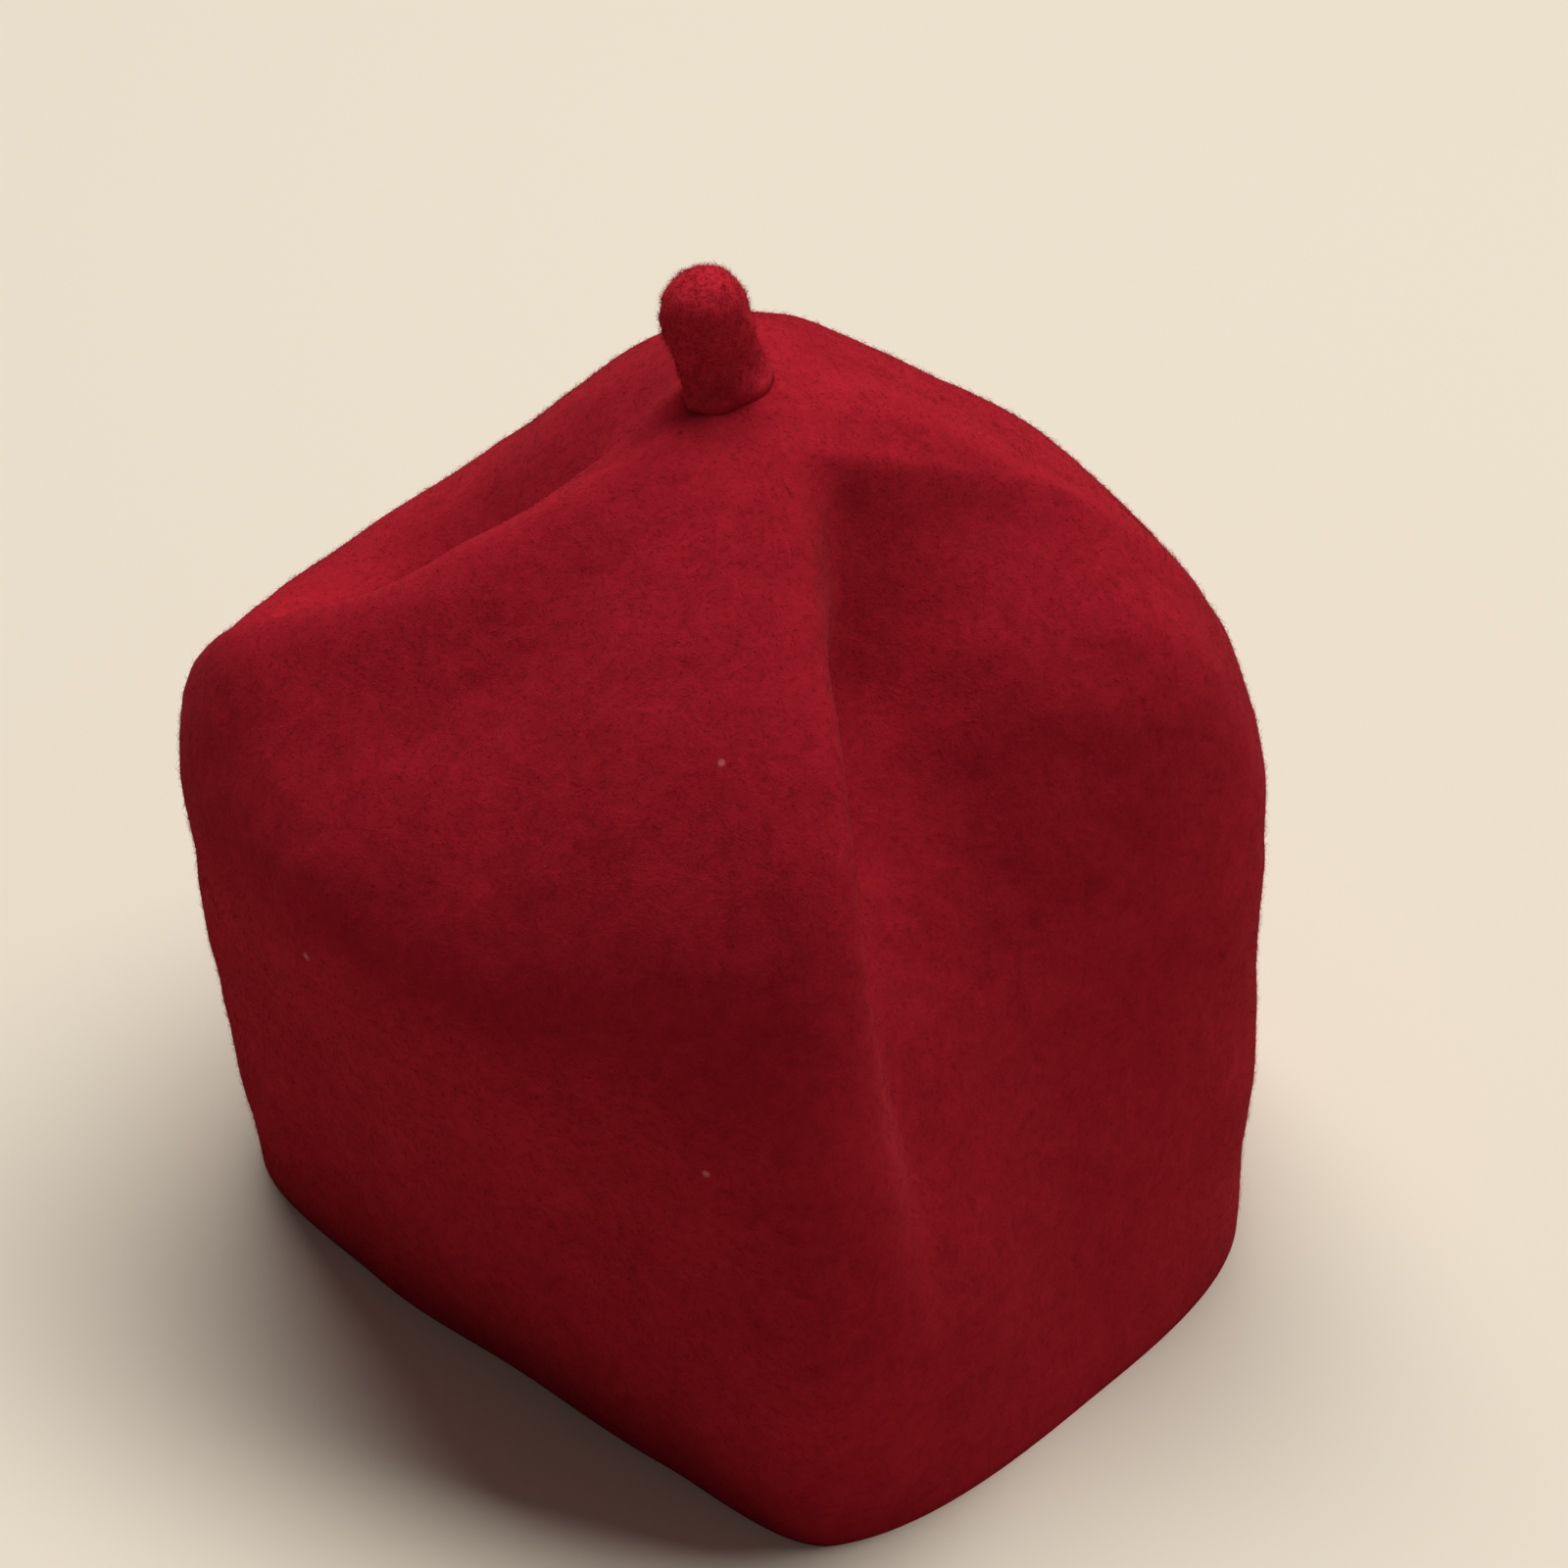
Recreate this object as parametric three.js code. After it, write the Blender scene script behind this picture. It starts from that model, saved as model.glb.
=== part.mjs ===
import * as THREE from "three";

// A soft cap of thick milled felt that stands on its open rim, with a short felt stalk on the crown.
// Units are millimetres. X runs to the cap's right as it is seen from the front, the front looks along -Y and Z is up.

// Sizes of the whole cap
const RIM_WIDTH = 182; // outside of the open edge, side to side
const RIM_DEPTH = 194; // outside of the open edge, front to back
const CROWN_HEIGHT = 171; // from the open edge up to the foot of the stalk
const CROWN_LEFT_OFFSET = 2; // how far the crown's middle point lies to the left of the rim's middle
const CROWN_FRONT_OFFSET = 5; // how far it lies in front of the rim's middle
const FELT = 2.5; // thickness of the felt
const FOLD = 13; // how deep the deepest fold is pressed in

// Sizes of the stalk
const STALK_DIAMETER = 14;
const STALK_LENGTH = 21;
const STALK_LEAN = 12; // degrees that it leans to the left
const SEAT_GAP = 0.3; // clearance between the stalk's foot and the crown

// How finely the surfaces are laid out
const AROUND = 84; // columns around the cap
const ROWS = 28; // rows from the rim to the stalk's foot
const SEAT_ROWS = 2; // rows under the stalk

// The cap's outline in plan, at four levels. A row is one section, at its angle around the cap, counted from the
// right over the back. rim, waist, shoulder and brow are how far out the felt stands there, as shares of the half
// width and half depth. Each rise is that level's height as a share of the crown's height, and twist turns the
// section around as it rises, in degrees over the whole height.
const SECTION_COLUMNS = ["name", "angle", "twist", "rim", "waist", "waistRise", "shoulder", "shoulderRise",
  "brow", "browRise"];
const SECTIONS = [
  ["back right", 42, 0, 1.02, 1.02, 0.28, 0.93, 0.64, 0.50, 0.89],
  ["back", 92, 0, 1.00, 1.02, 0.28, 0.94, 0.64, 0.44, 0.93],
  ["back left", 138, 5, 0.99, 1.02, 0.28, 0.94, 0.58, 0.54, 0.81],
  ["left corner", 176, 8, 0.98, 1.02, 0.28, 1.00, 0.64, 0.65, 0.785],
  ["left panel edge", 203, 10, 0.78, 0.86, 0.28, 0.92, 0.60, 0.55, 0.79],
  ["left panel", 233, 8, 0.70, 0.78, 0.28, 0.84, 0.58, 0.48, 0.83],
  ["front panel edge", 260, 4, 0.81, 0.87, 0.28, 0.83, 0.63, 0.44, 0.87],
  ["front corner", 280, 3, 1.01, 1.02, 0.28, 0.86, 0.66, 0.44, 0.88],
  ["right panel", 314, 1, 0.92, 0.86, 0.30, 0.69, 0.66, 0.46, 0.88],
  ["right corner", 352, 0, 1.00, 1.01, 0.28, 0.96, 0.66, 0.59, 0.87],
].map((row) => Object.fromEntries(row.map((value, i) => [SECTION_COLUMNS[i], value])));

// Where the four levels and the crown's middle lie along a meridian, as shares of the way from rim to crown, with one
// value beyond each end that steers the curve there.
const MERIDIAN = [-0.24, 0, 0.24, 0.52, 0.78, 1, 1.22];

// Ridges and dents pressed into the felt. The cap is laid out flat as a disc, with the crown in the middle and the rim
// as its edge at a radius of 1. A row is one fold, a line on that disc from its start to its end, each given by an
// angle and by how far out it lies. bow bends the line to its left, and right and left are how far the fold reaches on
// the two sides of its line, all as shares of the disc's radius. peak is where along the line it is strongest, and
// depth is its height as a share of FOLD, positive for a ridge.
const FOLD_COLUMNS = ["name", "startAngle", "startOut", "endAngle", "endOut", "bow", "right", "left", "peak", "depth",
  "profile"];
const FOLDS = [
  ["left ridge", 270, 0.045, 174, 0.54, 0.022, 0.028, 0.085, 0.46, 0.62, "crease"],
  ["left groove", 150, 0.03, 163, 0.42, 0.012, 0.062, 0.050, 0.42, -1.22, "soft"],
  ["right ridge", 338, 0.05, 4, 0.50, 0.000, 0.035, 0.065, 0.40, 0.38, "crease"],
  ["front crease", 320, 0.07, 284, 0.62, -0.012, 0.090, 0.034, 0.34, 0.28, "crease"],
  ["right dent", 330, 0.11, 297, 0.86, -0.040, 0.052, 0.165, 0.32, -1.40, "soft"],
].map((row) => Object.fromEntries(row.map((value, i) => [FOLD_COLUMNS[i], value])));

// The stalk's girth. rise is a share of STALK_LENGTH and girth a share of STALK_DIAMETER.
const STALK_COLUMNS = ["rise", "girth"];
const STALK_RINGS = [
  [0.08, 0.99],
  [0.26, 0.93],
  [0.48, 0.96],
  [0.68, 1.0],
  [0.82, 0.97],
  [0.91, 0.84],
  [0.97, 0.60],
  [0.993, 0.32],
].map((row) => Object.fromEntries(row.map((value, i) => [STALK_COLUMNS[i], value])));
const STALK_FOOT = 1.06; // girth of the foot where it meets the crown, as a share of STALK_DIAMETER

const radians = THREE.MathUtils.degToRad;
const CROWN = new THREE.Vector3(-CROWN_LEFT_OFFSET, -CROWN_FRONT_OFFSET, CROWN_HEIGHT);

// A smooth curve through unevenly spaced points, between point i and the next one.
function curveThrough(points, knots, i, at) {
  const span = knots[i + 1] - knots[i];
  const s = (at - knots[i]) / span;
  const slope = (j) => points[j + 1].clone().sub(points[j - 1]).multiplyScalar(span / (knots[j + 1] - knots[j - 1]));
  return new THREE.Vector3()
    .addScaledVector(points[i], 2 * s ** 3 - 3 * s ** 2 + 1)
    .addScaledVector(slope(i), s ** 3 - 2 * s ** 2 + s)
    .addScaledVector(points[i + 1], 3 * s ** 2 - 2 * s ** 3)
    .addScaledVector(slope(i + 1), s ** 3 - s ** 2);
}

// One section's point at one level.
function sectionPoint(section, level) {
  const rise = level === "rim" ? 0 : section[level + "Rise"];
  const angle = radians(section.angle + section.twist * rise);
  return new THREE.Vector3(
    section[level] * (RIM_WIDTH / 2) * Math.cos(angle) - CROWN_LEFT_OFFSET * rise,
    section[level] * (RIM_DEPTH / 2) * Math.sin(angle) - CROWN_FRONT_OFFSET * rise,
    rise * CROWN_HEIGHT,
  );
}

// The closed curve around the cap at one level.
const wrapped = [-2, -1, ...SECTIONS.keys(), SECTIONS.length, SECTIONS.length + 1];
const sectionAt = (k) => SECTIONS[(k + SECTIONS.length) % SECTIONS.length];
const wrappedAngles = wrapped.map((k) => sectionAt(k).angle + 360 * Math.floor(k / SECTIONS.length));
const wrappedPoints = Object.fromEntries(["rim", "waist", "shoulder", "brow"].map(
  (level) => [level, wrapped.map((k) => sectionPoint(sectionAt(k), level))],
));

function levelPoint(level, angle) {
  const first = wrappedAngles[1];
  const turned = first + THREE.MathUtils.euclideanModulo(angle - first, 360);
  const i = wrappedAngles.findLastIndex((value) => value <= turned);
  return curveThrough(wrappedPoints[level], wrappedAngles, i, turned);
}

// The felt's outside before it is folded, at an angle around the cap and a share of the way up from rim to crown.
function plainPoint(angle, up) {
  const rim = levelPoint("rim", angle);
  const waist = levelPoint("waist", angle);
  const below = rim.clone().multiplyScalar(2).sub(waist);
  const points = [below, rim, waist, levelPoint("shoulder", angle), levelPoint("brow", angle), CROWN,
    levelPoint("brow", angle + 180)];
  const i = Math.min(MERIDIAN.findLastIndex((value) => value <= up), MERIDIAN.length - 3);
  return curveThrough(points, MERIDIAN, i, up);
}

// The direction that a surface faces, from two short steps across it.
function facing(surface, angle, up) {
  const step = 0.002;
  const at = THREE.MathUtils.clamp(up, step, 1 - 2 * step);
  const across = surface(angle + 0.3, at).sub(surface(angle - 0.3, at));
  const upward = surface(angle, at + step).sub(surface(angle, at - step));
  return across.cross(upward).normalize();
}

const discPoint = (angle, out) => new THREE.Vector2(out * Math.cos(radians(angle)), out * Math.sin(radians(angle)));

// How high all the folds together stand above the plain felt.
function foldHeight(angle, up) {
  const here = discPoint(angle, 1 - up);
  return FOLDS.reduce((height, fold) => {
    const start = discPoint(fold.startAngle, fold.startOut);
    const line = discPoint(fold.endAngle, fold.endOut).sub(start);
    const length = line.length();
    const offset = here.clone().sub(start);
    const along = THREE.MathUtils.clamp(offset.dot(line) / length ** 2, 0, 1);
    const aside = line.cross(offset) / length - fold.bow * 4 * along * (1 - along);
    const reach = (aside < 0 ? fold.right : fold.left) * (0.6 + 0.8 * along);
    const across = aside / reach;
    const shape = fold.profile === "crease" ? 1 / Math.cosh(1.6 * across) : Math.exp(-across * across);
    const strength = Math.sin(Math.PI * along ** (Math.log(0.5) / Math.log(fold.peak))) ** 1.6;
    return height + FOLD * fold.depth * shape * strength;
  }, 0);
}

// The felt's outside with its folds.
function feltPoint(angle, up) {
  return plainPoint(angle, up).addScaledVector(facing(plainPoint, angle, up), foldHeight(angle, up));
}

// The felt's inside, one thickness further in. Where a fold is steep, the felt is measured square to it.
function liningPoint(angle, up) {
  const plain = facing(plainPoint, angle, up);
  const steepness = Math.max(plain.dot(facing(feltPoint, angle, up)), 0.75);
  const inward = up === 0 ? plain.setZ(0).normalize() : plain;
  return feltPoint(angle, up).addScaledVector(inward, -FELT / steepness);
}

// The stalk's foot is round, so the rows near the crown are placed where the felt is that far from its middle.
function seatUp(angle) {
  const radius = (STALK_FOOT * STALK_DIAMETER) / 2;
  let low = 0.5;
  let high = 1;
  for (let i = 0; i < 30; i += 1) {
    const middle = (low + high) / 2;
    const point = feltPoint(angle, middle);
    const far = Math.hypot(point.x - CROWN.x, point.y - CROWN.y) > radius;
    if (far) low = middle;
    else high = middle;
  }
  return low;
}

// A closed mesh from rings of points, each ring counted around the cap, with a single point at one or both ends.
function closedMesh(name, rings, colour, roughness) {
  const positions = [];
  const ringStarts = rings.map((ring) => {
    const start = positions.length / 3;
    ring.forEach((point) => positions.push(point.x, point.y, point.z));
    return start;
  });
  const indices = [];
  for (let r = 0; r + 1 < rings.length; r += 1) {
    const at = (row, c) => ringStarts[row] + (rings[row].length === 1 ? 0 : c % rings[row].length);
    for (let c = 0; c < AROUND; c += 1) {
      if (rings[r].length > 1) indices.push(at(r, c), at(r, c + 1), at(r + 1, c + 1));
      if (rings[r + 1].length > 1) indices.push(at(r, c), at(r + 1, c + 1), at(r + 1, c));
    }
  }
  const geometry = new THREE.BufferGeometry();
  geometry.setAttribute("position", new THREE.Float32BufferAttribute(positions, 3));
  geometry.setIndex(indices);
  geometry.computeVertexNormals();
  const material = new THREE.MeshStandardMaterial({ color: colour, roughness, metalness: 0 });
  const mesh = new THREE.Mesh(geometry, material);
  mesh.name = name;
  return mesh;
}

const angles = Array.from({ length: AROUND }, (_, c) => (360 * c) / AROUND);
const seats = angles.map(seatUp);
const rowUp = (row, c) => (row <= ROWS
  ? (seats[c] * row) / ROWS
  : seats[c] + ((1 - seats[c]) * (row - ROWS)) / SEAT_ROWS);
const rowsUp = Array.from({ length: ROWS + SEAT_ROWS }, (_, row) => row);

// The crown: its inside from the middle of the crown down to the rim, then its outside from the rim back up.
const outside = rowsUp.map((row) => angles.map((angle, c) => feltPoint(angle, rowUp(row, c))));
const inside = rowsUp.map((row) => angles.map((angle, c) => liningPoint(angle, rowUp(row, c))));
const insideMiddle = CROWN.clone().setZ(CROWN_HEIGHT - FELT);
const crown = closedMesh("crown", [[insideMiddle], ...inside.toReversed(), ...outside, [CROWN]], "#931a2a", 0.96);

// The stalk: its foot lies on the crown, one clearance above it, and the rest is a leaning, slightly waisted finger.
const foot = [...outside.slice(ROWS), [CROWN]].toReversed()
  .map((ring) => ring.map((point) => point.clone().setZ(point.z + SEAT_GAP)));
const lean = new THREE.Quaternion().setFromAxisAngle(new THREE.Vector3(0, 1, 0), -radians(STALK_LEAN));
const stalkRing = ({ rise, girth }) => outside[ROWS].map((point) => {
  const around = Math.atan2(point.y - CROWN.y, point.x - CROWN.x);
  const radius = (girth * STALK_DIAMETER) / 2;
  return new THREE.Vector3(radius * Math.cos(around), radius * Math.sin(around), rise * STALK_LENGTH)
    .applyQuaternion(lean)
    .add(CROWN);
});
const tip = new THREE.Vector3(0, 0, STALK_LENGTH).applyQuaternion(lean).add(CROWN);
const stalk = closedMesh("stalk", [...foot, ...STALK_RINGS.map(stalkRing), [tip]], "#7a1420", 0.97);

// The origin is on the floor, under the middle of the cap's box.
const cap = new THREE.Group();
cap.add(crown, stalk);
const middle = new THREE.Box3().setFromObject(cap).getCenter(new THREE.Vector3());
cap.position.set(-middle.x, -middle.y, 0);

export default cap;
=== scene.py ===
# %% [markdown]
# A soft cap of thick red wool felt, standing on its open rim. The real one is a single piece of milled felt, blocked to
# a tall dome and then pressed by hand into ridges and dents, with a short felt stalk on top. It could be sculpted or
# simulated as cloth, but milled felt is stiff and keeps its folds, so here its surface is worked out from a table of
# sections and a table of folds, which keeps every fold exact and easy to change.

import math

import bpy
import numpy as np
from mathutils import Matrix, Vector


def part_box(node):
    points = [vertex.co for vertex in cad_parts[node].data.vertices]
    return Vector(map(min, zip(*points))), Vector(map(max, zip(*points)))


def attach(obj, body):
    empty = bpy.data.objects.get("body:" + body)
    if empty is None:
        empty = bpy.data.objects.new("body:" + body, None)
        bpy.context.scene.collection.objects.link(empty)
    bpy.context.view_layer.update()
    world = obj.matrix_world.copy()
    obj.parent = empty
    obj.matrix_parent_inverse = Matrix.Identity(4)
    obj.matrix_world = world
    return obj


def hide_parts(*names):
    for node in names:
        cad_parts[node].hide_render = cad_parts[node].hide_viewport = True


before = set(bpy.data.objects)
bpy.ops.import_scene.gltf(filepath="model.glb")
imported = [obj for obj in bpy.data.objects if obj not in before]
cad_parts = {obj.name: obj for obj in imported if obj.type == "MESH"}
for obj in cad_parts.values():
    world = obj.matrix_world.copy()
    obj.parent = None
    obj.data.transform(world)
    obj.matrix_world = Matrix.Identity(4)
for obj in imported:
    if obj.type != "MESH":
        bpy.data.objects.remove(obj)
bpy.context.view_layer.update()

# %% [markdown]
# The sizes are the maker's: how wide, deep and high the cap stands, how thick its felt is, and how deep its folds go.
# The section table gives the outline in plan at four levels, and the fold table gives each ridge and dent as a line on
# the cap laid out flat as a disc. Both hold shares of the sizes, so a larger cap keeps its character.

# %% Sizes and tables of the cap
RIM_HALF = np.array([0.091, 0.097])
CROWN = np.array([-0.002, -0.005, 0.171])
FELT = 0.0025
FOLD = 0.013
STALK_GIRTH = 0.014
STALK_LENGTH = 0.021
STALK_LEAN = math.radians(12)

# angle, twist, rim, waist, its rise, shoulder, its rise, brow, its rise
SECTIONS = np.array([
    [42, 0, 1.02, 1.02, 0.28, 0.93, 0.64, 0.50, 0.89],  # back right
    [92, 0, 1.00, 1.02, 0.28, 0.94, 0.64, 0.44, 0.93],  # back
    [138, 5, 0.99, 1.02, 0.28, 0.94, 0.58, 0.54, 0.81],  # back left
    [176, 8, 0.98, 1.02, 0.28, 1.00, 0.64, 0.65, 0.785],  # left corner
    [203, 10, 0.78, 0.86, 0.28, 0.92, 0.60, 0.55, 0.79],  # left panel's edge
    [233, 8, 0.70, 0.78, 0.28, 0.84, 0.58, 0.48, 0.83],  # left panel
    [260, 4, 0.81, 0.87, 0.28, 0.83, 0.63, 0.44, 0.87],  # front panel's edge
    [280, 3, 1.01, 1.02, 0.28, 0.86, 0.66, 0.44, 0.88],  # front corner
    [314, 1, 0.92, 0.86, 0.30, 0.69, 0.66, 0.46, 0.88],  # right panel
    [352, 0, 1.00, 1.01, 0.28, 0.96, 0.66, 0.59, 0.87],  # right corner
])
MERIDIAN = np.array([-0.24, 0, 0.24, 0.52, 0.78, 1, 1.22])

# start angle and distance out, end angle and distance out, bow, reach to the right and left, peak, depth, crisp or not
FOLDS = [
    (270, 0.045, 174, 0.54, 0.022, 0.028, 0.085, 0.46, 0.62, True),  # left ridge
    (150, 0.03, 163, 0.42, 0.012, 0.062, 0.050, 0.42, -1.22, False),  # groove behind it
    (338, 0.05, 4, 0.50, 0.000, 0.035, 0.065, 0.40, 0.38, True),  # right ridge
    (320, 0.07, 284, 0.62, -0.012, 0.090, 0.034, 0.34, 0.28, True),  # front crease
    (330, 0.11, 297, 0.86, -0.040, 0.052, 0.165, 0.32, -1.40, False),  # dent to its right
]
print("sections:", len(SECTIONS), " folds:", len(FOLDS))

# %% [markdown]
# A smooth closed outline through a few chosen points is what a maker draws with a spline ruler. The same curve serves
# twice here: around the cap at each level, and up the cap from rim to crown.

# %% Curves through chosen points
def smooth(points, knots, at):
    """A curve through points: each stretch blends its two end points and their slopes by cubics of the share s along
    it, and the slope at a point is the step between its neighbours divided by their distance in knots."""
    i = np.clip(np.searchsorted(knots, at, side="right") - 1, 1, len(knots) - 3)
    span = knots[i + 1] - knots[i]
    s = ((at - knots[i]) / span)[..., None]

    def slope(j):
        return (points(j + 1) - points(j - 1)) * (span / (knots[j + 1] - knots[j - 1]))[..., None]

    rise = s * s * (3 - 2 * s)
    return (
        points(i) * (1 - rise)
        + points(i + 1) * rise
        + slope(i) * s * (1 - s) ** 2
        - slope(i + 1) * s * s * (1 - s)
    )


def level_points(reach, rise):
    """Each section's point at one level: the rim's half sizes times reach, turned by the twist and moved towards the
    crown in step with the rise, and at that share of the crown's height."""
    turn = np.radians(SECTIONS[:, 0] + SECTIONS[:, 1] * rise)
    flat = np.stack([np.cos(turn), np.sin(turn)], -1) * RIM_HALF * reach[:, None] + CROWN[:2] * rise[:, None]
    return np.concatenate([flat, (rise * CROWN[2])[:, None]], -1)


def around(level, angle):
    """The closed curve of one level at any angle, from its points repeated past both ends."""
    turns = np.concatenate([SECTIONS[-2:, 0] - 360, SECTIONS[:, 0], SECTIONS[:2, 0] + 360])
    closed = np.concatenate([level[-2:], level, level[:2]])
    return smooth(lambda j: closed[j], turns, (angle - turns[1]) % 360 + turns[1])


no_rise = np.zeros(len(SECTIONS))
rim, waist, shoulder, brow = (
    level_points(SECTIONS[:, 2], no_rise),
    level_points(SECTIONS[:, 3], SECTIONS[:, 4]),
    level_points(SECTIONS[:, 5], SECTIONS[:, 6]),
    level_points(SECTIONS[:, 7], SECTIONS[:, 8]),
)
print("rim from", rim.min(0).round(3), "to", rim.max(0).round(3))

# %% [markdown]
# The felt is first a plain dome, and the folds are then raised or pressed in square to it, each strongest near its
# middle and fading out at its ends and sides. Sculpting by hand would look as good once, but a formula can be sampled
# as finely as the render needs and as coarsely as a solid does.

# %% The felt's surface
def plain(angle, up):
    """The dome: at each angle a curve up through rim, waist, shoulder, brow and crown, and on past the crown."""
    low, mid, high, top = (around(level, angle) for level in (rim, waist, shoulder, brow))
    crown = np.broadcast_to(CROWN, low.shape)
    stack = np.stack([2 * low - mid, low, mid, high, top, crown, around(brow, angle + 180)])

    def pick(j):
        return np.take_along_axis(stack, j[None, ..., None], 0)[0]

    return smooth(pick, MERIDIAN, up)


def unit(vectors):
    """Each vector divided by its length."""
    return vectors / np.linalg.norm(vectors, axis=-1, keepdims=True)


TURN_STEP, UP_STEP = 0.3, 0.002


def facing(surface, angle, up):
    """The unit normal: the step around the cap crossed with the step up it, each from just before to just after."""
    at = np.clip(up, UP_STEP, 1 - 2 * UP_STEP)
    across = surface(angle + TURN_STEP, at) - surface(angle - TURN_STEP, at)
    upward = surface(angle, at + UP_STEP) - surface(angle, at - UP_STEP)
    return unit(np.cross(across, upward))


def on_disc(angle, out):
    """A point of the flat disc: its distance out times the cosine and the sine of its angle."""
    turn = np.radians(angle)
    return np.stack([out * np.cos(turn), out * np.sin(turn)], -1)


NARROW, WIDEN = 0.6, 0.8
CRISPNESS, SWELL_POWER = 1.6, 1.6


def fold_height(angle, up, folds):
    """Sum over the folds of depth, times a bell of the distance aside from the fold's bowed line, times a swell along
    it. A crisp fold's bell is one over the hyperbolic cosine, which is pointed, and a soft fold's is the exponential
    of minus the square. The bell widens evenly along the fold. The swell is a power of a sine, stretched so that it
    tops out at the fold's peak."""
    here = on_disc(angle, 1 - up)
    total = np.zeros(np.shape(here)[:-1])
    for start_angle, start_out, end_angle, end_out, bow, right, left, peak, depth, crisp in folds:
        start = on_disc(start_angle, start_out)
        line = on_disc(end_angle, end_out) - start
        length = np.hypot(*line)
        offset = here - start
        along = np.clip(offset @ line / length**2, 0, 1)
        aside = (line[0] * offset[..., 1] - line[1] * offset[..., 0]) / length - bow * 4 * along * (1 - along)
        across = aside / (np.where(aside < 0, right, left) * (NARROW + WIDEN * along))
        bell = 1 / np.cosh(CRISPNESS * across) if crisp else np.exp(-across * across)
        swell = np.sin(np.pi * along ** (math.log(0.5) / math.log(peak)))
        total += FOLD * depth * bell * np.clip(swell, 0, 1) ** SWELL_POWER
    return total


def felt(angle, up):
    """The felt's outside: the dome moved along its normal by the height of the folds."""
    return plain(angle, up) + facing(plain, angle, up) * fold_height(angle, up, FOLDS)[..., None]


SAMPLE_TURN, SAMPLE_ROWS = 1.25, 120
turns, climb = np.meshgrid(np.arange(0, 360, SAMPLE_TURN), np.linspace(0, 1, SAMPLE_ROWS), indexing="ij")
sample = felt(turns, climb)
crown_box = [np.array(corner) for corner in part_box("crown")]
SHIFT = (crown_box[0] + crown_box[1]) / 2 - (sample.min((0, 1)) + sample.max((0, 1))) / 2
SHIFT[2] = 0
print("shift to the solid's place:", SHIFT.round(5))

# %% [markdown]
# Wool felt isn't smooth: milling leaves it lumpy at the scale of a thumb, and a hand-pressed cap keeps shallow waves
# between its folds. Noise in a material would only darken and lighten it, so the larger lumps are real shape here, made
# by adding up many faint waves that run in random directions.

# %% Lumps in the felt
# size, height and seed of each kind of lump
FELT_LUMPS = [(0.045, 0.0004, 11), (0.017, 0.0001, 12), (0.006, 0.00004, 13)]
LENGTHS = (0.7, 1.4)


def waves(points, size, height, seed, count=28):
    """Sum of sine waves in random directions, each about size long, scaled so that their typical height is height. A
    wave's length is the size times a random share between two bounds."""
    draw = np.random.default_rng(seed)
    aim = draw.normal(size=(3, count))
    aim *= 2 * np.pi / (size * draw.uniform(*LENGTHS, count)) / np.linalg.norm(aim, axis=0)
    return np.sin(points @ aim + draw.uniform(0, 2 * np.pi, count)).sum(-1) * height / math.sqrt(count / 2)


def lumps(points, kinds=FELT_LUMPS):
    """The heights of all kinds of lump added up."""
    return sum(waves(points, size, height, seed) for size, height, seed in kinds)


print("lumps, mm, from", (lumps(sample).min() * 1000).round(2), "to", (lumps(sample).max() * 1000).round(2))

# %% [markdown]
# The cap's body is one closed shell. Its outside and inside are two sheets a felt's thickness apart, joined around the
# rim by the flat cut edge that the cap stands on. A Solidify modifier could thicken a single sheet, but it would not
# keep the rim flat on the floor, so both sheets are laid out here.

# %% A closed mesh from rings
def placed(name, data):
    """Puts a mesh, a lamp or a camera into the scene as an object of its own."""
    thing = bpy.data.objects.new(name, data)
    bpy.context.collection.objects.link(thing)
    return thing


def closed_piece(name, rings):
    """Joins rings of equal length into a tube, row by row in quads, and closes both ends with a fan of triangles to
    the middle of the end ring."""
    count, columns = rings.shape[:2]
    ends = np.stack([rings[0].mean(0), rings[-1].mean(0)])
    points = np.concatenate([rings.reshape(-1, 3), ends])
    row, col = np.meshgrid(np.arange(count - 1), np.arange(columns), indexing="ij")
    right = (col + 1) % columns
    quads = np.stack([row * columns + col, row * columns + right, (row + 1) * columns + right,
                      (row + 1) * columns + col], -1).reshape(-1, 4)
    c = np.arange(columns)
    last = (count - 1) * columns
    first_fan = np.stack([np.full(columns, count * columns), (c + 1) % columns, c], -1)
    last_fan = np.stack([np.full(columns, count * columns + 1), last + c, last + (c + 1) % columns], -1)
    mesh = bpy.data.meshes.new(name)
    mesh.from_pydata(points, [], quads.tolist() + first_fan.tolist() + last_fan.tolist())
    mesh.shade_smooth()
    mesh.update()
    return placed(name, mesh)


print("closed pieces are made from rings of points")

# %% [markdown]
# The outside takes the lumps too, except just above the floor, where they fade so that the rim stays even. The inside
# is the same surface moved inwards by the felt's thickness, and by a little more where a fold makes it steep, because
# felt keeps its thickness square to its own face.

# %% The cap's shell
AROUND, UP_ROWS, IN_ROWS, EDGE_ROWS = 320, 190, 70, 6
OUTER_TOP, INNER_TOP = 0.997, 0.995
LUMPS_FROM = 0.012
STEEPEST = 0.75


def sheet_grid(ups):
    """Every angle around the cap at every share of the way up it, row by row."""
    return np.meshgrid(np.arange(AROUND) * 360 / AROUND, ups, indexing="xy")


turn, up = sheet_grid(np.linspace(0, OUTER_TOP, UP_ROWS))
outer = felt(turn, up)
outer_facing = facing(felt, turn, up)
fade = np.clip(outer[..., 2] / LUMPS_FROM, 0, 1)[..., None]
outer = outer + outer_facing * lumps(outer)[..., None] * fade

turn, up = sheet_grid(np.linspace(INNER_TOP, 0, IN_ROWS))
inner = felt(turn, up)
inner_plain = facing(plain, turn, up)
steep = np.maximum((inner_plain * facing(felt, turn, up)).sum(-1, keepdims=True), STEEPEST)
inner_plain[up == 0, 2] = 0
inner = inner - inner_plain * FELT / steep

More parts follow.
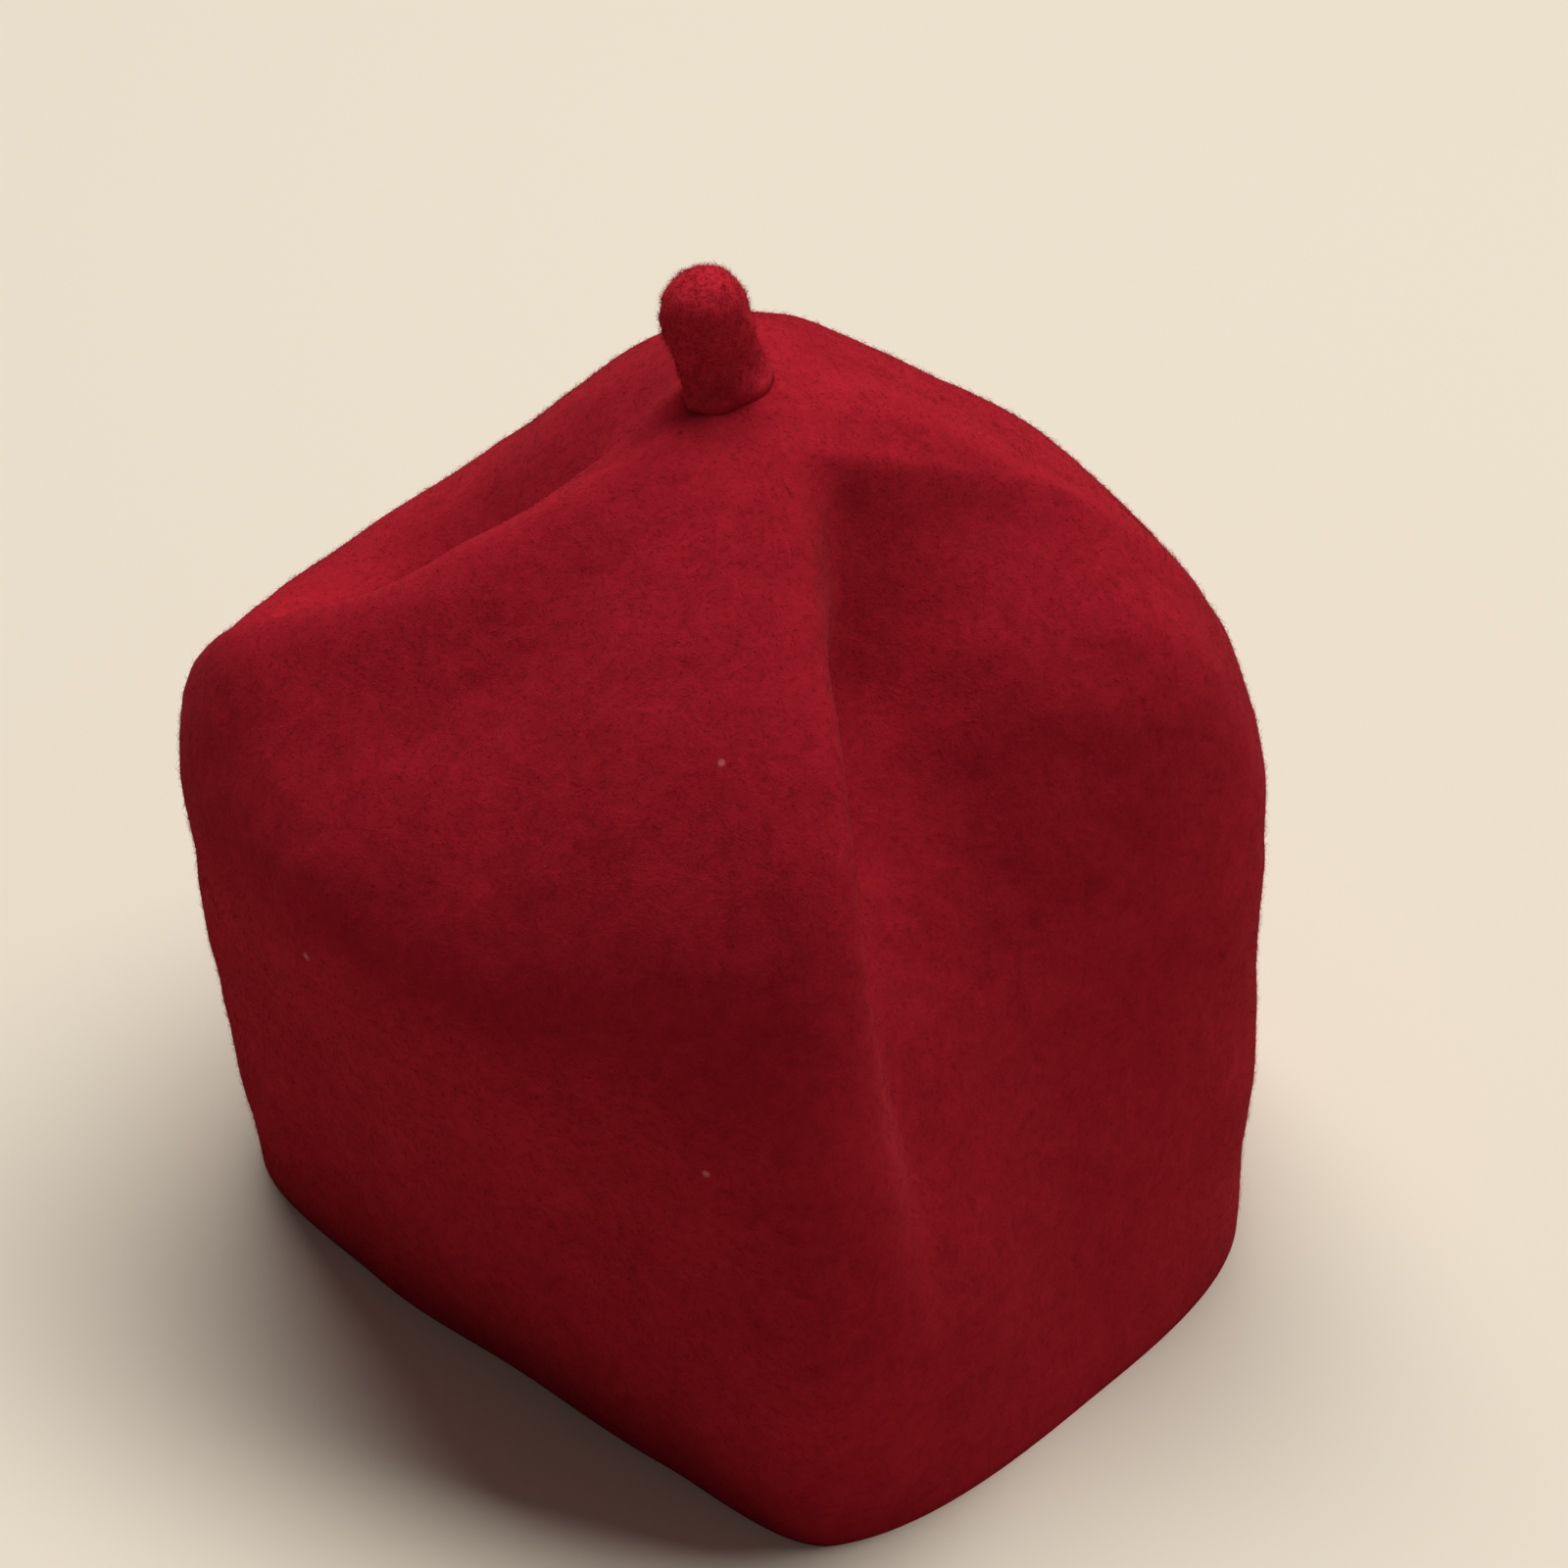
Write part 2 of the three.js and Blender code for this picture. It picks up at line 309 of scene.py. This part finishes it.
edge = np.linspace(0, 1, EDGE_ROWS + 2)[1:-1, None, None]
bottom = inner[-1] * (1 - edge) + outer[0] * edge
shell = np.concatenate([inner, bottom, outer]) + SHIFT
shell[..., 2] = np.maximum(shell[..., 2], 0)
crown_felt = closed_piece("crown_felt", shell)
print("crown felt:", len(crown_felt.data.polygons), "faces, from", shell.min((0, 1)).round(4), "to",
      shell.max((0, 1)).round(4))

# %% [markdown]
# The stalk is a finger of the same felt, rolled and fulled until it is firm, with a blunt woolly end. It leans to the
# left and is a little thinner in its waist. It is a profile carried along a leaning line, with its foot laid on the
# crown.

# %% The stalk
STALK_ROWS, STALK_COLUMNS, ROW_CROWDING = 90, 96, 1.5
BODY_GIRTH, WAIST_RISE, WAIST_PERIOD, WAIST_SWING = 0.965, 0.26, 0.92, 0.035
DOME_FROM, DOME_END = 0.66, 0.0004
FLARE, FLARE_HEIGHT, FLARE_POWER = 0.15, 0.17, 1.2
RIGHT_PULL, RIGHT = 0.10, 0.35
FRONT_CUT, FRONT_RIGHT, CUT_WIDTH = 0.22, math.radians(305), 0.6
STALK_LUMPS = [(0.009, 0.00024, 21), (0.0035, 0.00008, 22)]


def stalk_girth(rise, turn):
    """The share of the full girth: a cosine swell with its waist a quarter of the way up, times the square root of one
    minus the cube of the share past the dome's start, plus a flare that dies away upwards. The flare is widest on the
    right, where the felt was pulled up into the stalk, and cut back at the front right."""
    body = BODY_GIRTH - WAIST_SWING * np.cos(2 * np.pi * (rise - WAIST_RISE) / WAIST_PERIOD)
    past = np.clip((rise - DOME_FROM) / (1 - DOME_FROM), 0, 1)
    dome = np.sqrt(np.maximum(1 - past**3, DOME_END))
    cut = FRONT_CUT * np.exp(-(((turn - FRONT_RIGHT) / CUT_WIDTH) ** 2))
    foot = FLARE + RIGHT_PULL * np.cos(turn - RIGHT) - cut
    flare = foot * np.exp(-((rise[:, None] / FLARE_HEIGHT) ** FLARE_POWER))
    return (body * dome)[:, None] + flare


def stalk_rings():
    """Circles whose radius is half the girth times its share at that rise, stirred by small lumps, then turned by the
    lean and moved onto the crown. The rows crowd together towards the end, where the curve is tightest."""
    rise = 1 - (1 - np.linspace(0, 1, STALK_ROWS)) ** ROW_CROWDING
    turn = np.arange(STALK_COLUMNS) * 2 * np.pi / STALK_COLUMNS
    radius = stalk_girth(rise, turn) * STALK_GIRTH / 2
    height = np.broadcast_to(rise[:, None] * STALK_LENGTH, radius.shape)
    local = np.stack([radius * np.cos(turn), radius * np.sin(turn), height], -1)
    out = np.stack([np.cos(turn), np.sin(turn), 0 * turn], -1)
    local = local + out * lumps(local, STALK_LUMPS)[..., None]
    c, s = math.cos(STALK_LEAN), math.sin(STALK_LEAN)
    leaning = np.stack([c * local[..., 0] - s * local[..., 2], local[..., 1],
                        s * local[..., 0] + c * local[..., 2]], -1)
    return leaning + CROWN


rings = stalk_rings()
print("stalk rings:", rings.shape[:2], " foot's width:", round(float(np.ptp(rings[0, :, 0])), 4))

# %% [markdown]
# The stalk was felted into the crown, so its foot follows the crown's slope and sinks a little into it, with no gap. A
# Boolean modifier could join the two, but they stay two pieces because they are two solids of the model.

# %% The stalk's foot
FOOT_ROWS, FOOT_SINK = 14, 0.0003
NEAR_TOP, NEAR_ROWS = 0.88, 40


def height_at(flat):
    """The crown's height under points near its middle, by following each one's meridian to that distance out."""
    offset = flat - CROWN[:2]
    turn = np.degrees(np.arctan2(offset[..., 1], offset[..., 0]))
    far = np.hypot(offset[..., 0], offset[..., 1])
    up = np.linspace(1, NEAR_TOP, NEAR_ROWS)
    sampled = felt(*np.meshgrid(turn.ravel(), up, indexing="ij"))
    out = np.hypot(sampled[..., 0] - CROWN[0], sampled[..., 1] - CROWN[1])
    heights = [np.interp(f, o, z) for f, o, z in zip(far.ravel(), out, sampled[..., 2])]
    return np.array(heights).reshape(far.shape)


seat = height_at(rings[:FOOT_ROWS, :, :2]) - FOOT_SINK
rings[:FOOT_ROWS, :, 2] = np.maximum(rings[:FOOT_ROWS, :, 2], seat)
rings[0, :, 2] = seat[0]
stalk_felt = closed_piece("stalk_felt", rings + SHIFT)
print("stalk felt:", len(stalk_felt.data.polygons), "faces, top at", (rings[..., 2].max()).round(4))

# %% [markdown]
# A nap stands off milled wool: short loose fibres, most of them lying nearly flat, which soften every edge of the
# cap. Hair particles would be lost when the piece is exported, so each fibre is a slim closed spike of four triangles,
# rooted a little way inside the felt.

# %% Where the fibres stand
NAP_ROOT, NAP_FROM = 0.0002, 0.002
RAISED, GIRTHS = (0.15, 0.6), (0.7, 1.3)
BASE_TURNS = (0, 2 * math.pi / 3, 4 * math.pi / 3)


def fibre_points(sheet, count, length, width, seed):
    """The three base corners and the tip of each fibre on a grid of points. Cells are drawn by their area and points
    inside them evenly. A fibre points along a small share of the normal plus a random direction on the surface, and
    its base is a triangle around its root."""
    draw = np.random.default_rng(seed)
    wrap = np.concatenate([sheet, sheet[:, :1]], 1)
    a, b, c = wrap[:-1, :-1], wrap[:-1, 1:], wrap[1:, :-1]
    area = np.linalg.norm(np.cross(b - a, c - a), axis=-1)
    weight = np.where(a[..., 2] > NAP_FROM, area, 0).ravel()
    cell = draw.choice(weight.size, count, p=weight / weight.sum())
    a, b, c = (corner.reshape(-1, 3)[cell] for corner in (a, b, c))
    u, v = draw.random((2, count, 1))
    up = unit(np.cross(b - a, c - a))
    sideways = unit(np.cross(up, draw.normal(size=(count, 3))))
    aim = unit(up * draw.uniform(*RAISED, (count, 1)) + sideways)
    across = unit(np.cross(aim, up))
    over = np.cross(across, aim)
    root = a + (b - a) * u + (c - a) * v - up * NAP_ROOT
    tip = root + aim * draw.uniform(*length, (count, 1))
    half = draw.uniform(*GIRTHS, (count, 1)) * width / 2
    base = [root + (across * math.cos(t) + over * math.sin(t)) * half for t in BASE_TURNS]
    points = np.stack([*base, tip], 1).reshape(-1, 3)
    points[:, 2] = np.maximum(points[:, 2], 0)
    return points


napped = outer + SHIFT
print("fibres are rooted", NAP_ROOT * 1000, "mm deep, on felt from", NAP_FROM * 1000, "mm above the floor")

# %% [markdown]
# All the fibres of a piece share one mesh, because an object for each would be slow. Each fibre has a cell of its own
# in the UV map, so that a baked picture keeps them apart.

# %% Nap
SPIKE = np.array([[0, 1, 3], [1, 2, 3], [2, 0, 3], [0, 2, 1]])
CELL_CORNERS = np.array([[0.2, 0.2], [0.8, 0.2], [0.5, 0.8]])
NAP_ROW = 4


def nap_piece(name, sheet, count, length, width, seed):
    """One mesh of fibres: the spike's four triangles for each, and cells in a square grid laid over the UV map."""
    triangles = (np.arange(count)[:, None, None] * 4 + SPIKE).reshape(-1, 3)
    mesh = bpy.data.meshes.new(name)
    mesh.from_pydata(fibre_points(sheet, count, length, width, seed), [], triangles.tolist())
    side = math.ceil(math.sqrt(count))
    at = np.stack([np.arange(count) % side, np.arange(count) // side], -1)
    cells = ((at[:, None, None] + CELL_CORNERS) / side).repeat(len(SPIKE), 1)
    mesh.uv_layers.new(name="OFBake").data.foreach_set("uv", cells.ravel())
    mesh.update()
    return placed(name, mesh)


crown_naps = [
    nap_piece(f"crown_nap_{n}", napped, count=46000, length=(0.0011, 0.0026), width=0.00008, seed=31 + n)
    for n in (1, 2)
]
stalk_nap = nap_piece(
    "stalk_nap", rings[NAP_ROW:] + SHIFT, count=8000, length=(0.0008, 0.0024), width=0.00009, seed=41
)
print("fibres:", sum(len(piece.data.polygons) // 4 for piece in (*crown_naps, stalk_nap)))

# %% [markdown]
# Felt's look comes from its wool: it is matt, its colour is mottled where the dye took unevenly, and loose fibres
# stand off it, so it brightens at grazing angles. A Principled surface with high roughness, no gloss and a little
# sheen does this, with noise for the mottling and a fine bump for the matted fibres. All of it is built in Object
# coordinates, so it stays in place from every side.

# %% Writing materials as expressions
class Value:
    """A node socket that can be used in arithmetic. Each operator adds one Math node."""

    def __init__(self, tree, socket):
        self.tree, self.socket = tree, socket

    def node(self, kind, settings=None, **inputs):
        """Adds a node of a kind, sets its settings, then fills its sockets with values or links."""
        made = self.tree.nodes.new(kind)
        for name, value in (settings or {}).items():
            setattr(made, name, value)
        for name, value in inputs.items():
            socket = made.inputs[int(name[1:])] if name[0] == "_" else made.inputs[name.replace("_", " ")]
            if isinstance(value, Value):
                self.tree.links.new(value.socket, socket)
            else:
                socket.default_value = value
        return made

    def _math(self, operation, a, b):
        """A Math node of an operation on two values."""
        made = self.node("ShaderNodeMath", {"operation": operation}, _0=a, _1=b)
        return Value(self.tree, made.outputs[0])

    def __add__(self, other):
        return self._math("ADD", self, other)

    def __radd__(self, other):
        return self._math("ADD", other, self)

    def __sub__(self, other):
        return self._math("SUBTRACT", self, other)

    def __rsub__(self, other):
        return self._math("SUBTRACT", other, self)

    def __mul__(self, other):
        return self._math("MULTIPLY", self, other)

    def __rmul__(self, other):
        return self._math("MULTIPLY", other, self)

    def __pow__(self, other):
        return self._math("POWER", self, other)

    def far_from(self, point):
        """The distance of this position from a fixed point."""
        made = self.node("ShaderNodeVectorMath", {"operation": "DISTANCE"}, _0=self, _1=tuple(point))
        return Value(self.tree, made.outputs["Value"])

    def at_least(self, other):
        """The larger of this and another value."""
        return self._math("MAXIMUM", self, other)


def new_material(name):
    """A Principled material, its shader, and the place on the object as a value."""
    material = bpy.data.materials.new(name)
    material.use_nodes = True
    tree = material.node_tree
    shader = tree.nodes["Principled BSDF"]
    place = Value(tree, tree.nodes.new("ShaderNodeTexCoord").outputs["Object"])
    return material, shader, place


def fill(node, **values):
    """Sets sockets of a node to plain values, with a low line for each space in a socket's name."""
    for name, value in values.items():
        node.inputs[name.replace("_", " ")].default_value = value


def noise(place, scale, detail, roughness, distortion=0.0):
    """Noise in the object's space, as a value between nothing and one."""
    made = place.node(
        "ShaderNodeTexNoise", Vector=place, Scale=scale, Detail=detail, Roughness=roughness, Distortion=distortion
    )
    return Value(place.tree, made.outputs["Fac"])


def blend(mask, low, high):
    """A colour between two, each given as three numbers or as the result of another blend."""
    low, high = (colour if isinstance(colour, Value) else (*colour, 1) for colour in (low, high))
    made = mask.node("ShaderNodeMix", {"data_type": "RGBA"}, _0=mask, _6=low, _7=high)
    return Value(mask.tree, made.outputs[2])


print("material helpers ready")

# %% [markdown]
# A worn cap picks up lint. Three pale specks of it are worked out first, each at its place on the felt. They could be
# tiny meshes, but at this size a fading spot of colour looks the same and moves with the material.

# %% Specks of lint
LINT_COLOUR = (0.52, 0.14, 0.15)
LINT_FADE = 0.6

# angle around the cap, share of the way out from its crown, size
LINT = [(209.0, 0.539, 0.0009), (267.0, 0.314, 0.0007), (265.5, 0.631, 0.0008)]


def lint_spots():
    """Each speck's place on the felt's lumped outside, with its size."""
    turn, out, size = np.array(LINT).T
    on_felt = felt(turn, 1 - out)
    return list(zip(on_felt + facing(felt, turn, 1 - out) * lumps(on_felt)[:, None] + SHIFT, size))


specks = lint_spots()
print("specks of lint:", len(specks))

# %% [markdown]
# The felt's red is deep, with patches a shade lighter where the nap catches dust and light, and fine fibres in
# between. The stalk is the same red wool, but its colours are painted a shade lighter than the crown's: painted light
# that lifts the shade it mostly stands in, so that it still looks red.

# %% Red wool felt
CLOUD_SHARE, MATTED_SHARE, FIBRE_SHARE = 0.32, 0.40, 0.28
MIDDLE, CONTRAST = 0.5, 2.2
MATTED_RELIEF, FIBRE_RELIEF, RELIEF = 0.6, 0.4, 0.0006


def felt_material(name, dark, light, sheen, bump, lint=()):
    """The mask is the sum of three noises by their shares, spread about its middle, and blends from dark to light.
    Around each speck of lint the colour goes over to the lint's by one minus the distance as a share of the speck's
    size, to a power. The two finer noises are the height of the bump."""
    material, shader, place = new_material(name)
    cloud = noise(place, scale=38.0, detail=4.0, roughness=0.6)
    fibre = noise(place, scale=900.0, detail=3.0, roughness=0.7, distortion=1.5)
    matted = noise(place, scale=260.0, detail=4.0, roughness=0.65, distortion=0.8)
    mask = (cloud * CLOUD_SHARE + matted * MATTED_SHARE + fibre * FIBRE_SHARE - MIDDLE) * CONTRAST + MIDDLE
    fill(shader, Roughness=0.95, Specular_IOR_Level=0.0)
    fill(shader, Sheen_Weight=sheen, Sheen_Roughness=0.45, Sheen_Tint=(1.0, 0.45, 0.45, 1))
    colour = blend(mask, dark, light)
    for spot, size in lint:
        near = (1.0 - place.far_from(spot) * (1 / size)).at_least(0.0)
        colour = blend(near ** LINT_FADE, colour, LINT_COLOUR)
    material.node_tree.links.new(colour.socket, shader.inputs["Base Color"])
    height = matted * MATTED_RELIEF + fibre * FIBRE_RELIEF
    dented = place.node("ShaderNodeBump", Strength=bump, Distance=RELIEF, Height=height)
    material.node_tree.links.new(dented.outputs["Normal"], shader.inputs["Normal"])
    return material


red_felt = felt_material(
    "red wool felt", dark=(0.23, 0.007, 0.014), light=(0.45, 0.017, 0.031), sheen=0.04, bump=0.6, lint=specks
)
# The stalk's colours are painted lighter than the crown's: painted light that lifts the shade it stands in.
stalk_wool_painted_light = felt_material(
    "stalk felt painted lighter against shade", dark=(0.36, 0.011, 0.024), light=(0.62, 0.030, 0.050), sheen=0.05, bump=0.7
)
for piece in (crown_felt, *crown_naps):
    piece.data.materials.append(red_felt)
for piece in (stalk_felt, stalk_nap):
    piece.data.materials.append(stalk_wool_painted_light)
print("felt materials ready")

# %% [markdown]
# Each felt piece stands for a solid of the model, and the nap only rides along. All of them ride on the same body,
# because the cap has no moving parts.

# %% Tie the pieces to the solid model
for piece, node, slot in ((crown_felt, "crown", "felt"), (stalk_felt, "stalk", "stalk_felt")):
    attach(piece, "root")
    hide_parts(node)
for piece, slot in ((crown_naps[0], "felt"), (crown_naps[1], "felt"), (stalk_nap, "stalk_felt")):
    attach(piece, "root")

# %% [markdown]
# The setting is plain: a pale warm floor under the cap, which is not tied to the cap's body. A flat colour is
# enough, because the floor only has to take the shadow.

# %% Floor
FLOOR = 3.0
FLOOR_CORNERS = [(-FLOOR, -FLOOR, 0), (FLOOR, -FLOOR, 0), (FLOOR, FLOOR, 0), (-FLOOR, FLOOR, 0)]


def plain_material(name, colour):
    """One even colour with a dull surface."""
    material, shader, _ = new_material(name)
    fill(shader, Base_Color=(*colour, 1), Roughness=0.6)
    return material


floor_mesh = bpy.data.meshes.new("floor")
floor_mesh.from_pydata(FLOOR_CORNERS, [], [(0, 1, 2, 3)])
floor = placed("floor", floor_mesh)
floor_mesh.materials.append(plain_material("pale floor", (0.76, 0.695, 0.58)))
print("floor:", 2 * FLOOR, "m wide")

# %% [markdown]
# The light is one soft oval, wide from side to side, high above the cap and a little behind it on its right. So the top
# of each fold is bright, the front falls into shade and the shadow lies at the lower left. A round lamp would be
# simpler, but it softens the shadow as much one way as the other. A faint warm room light fills the shade.

# %% Light
ROOM_COLOUR, ROOM_STRENGTH = (1.0, 0.97, 0.92, 1), 0.08


def soft_light(name, place, aim, wide, deep, watts, colour):
    """An oval lamp. Its pitch is the arc cosine of how far down it looks, as a share of the way to its aim, and its
    heading is the arc tangent of the rest."""
    lamp = bpy.data.lights.new(name, "AREA")
    lamp.shape = "ELLIPSE"
    lamp.size, lamp.size_y, lamp.energy, lamp.color = wide, deep, watts, colour
    holder = placed(name, lamp)
    towards = np.array(aim) - np.array(place)
    far = np.linalg.norm(towards)
    pitch = math.acos(-towards[2] / far)
    holder.rotation_euler = (pitch, 0, math.atan2(-towards[0], towards[1]))
    holder.location = place
    return holder


soft_light(
    "window above", place=(0.30, 0.58, 2.28), aim=(0, 0, 0.08), wide=3.2, deep=1.1, watts=70, colour=(1.0, 0.98, 0.95)
)
world = bpy.data.worlds.new("room")
bpy.context.scene.world = world
world.use_nodes = True
fill(world.node_tree.nodes["Background"], Color=ROOM_COLOUR, Strength=ROOM_STRENGTH)
bpy.context.scene.view_settings.view_transform = "Standard"
print("lit by one lamp and a room light of strength", ROOM_STRENGTH)

# %% [markdown]
# The camera looks down at the cap by about 36 degrees. Its focal length is given in dots of a picture of a known width,
# and turned into millimetres by the share that this is of the sensor.

# %% Camera
PITCH = math.radians(36)
FOCAL_DOTS, PICTURE_DOTS, SENSOR = 4760, 1600, 36
EYE = np.array([0.0077, -0.6538, 0.5627])

eye = bpy.data.cameras.new("eye")
eye.lens, eye.sensor_width = FOCAL_DOTS / PICTURE_DOTS * SENSOR, SENSOR
camera = placed("eye", eye)
camera.location = EYE + SHIFT
camera.rotation_euler = (math.pi / 2 - PITCH, 0, 0)
bpy.context.scene.camera = camera
print("camera at", [round(v, 4) for v in camera.location])
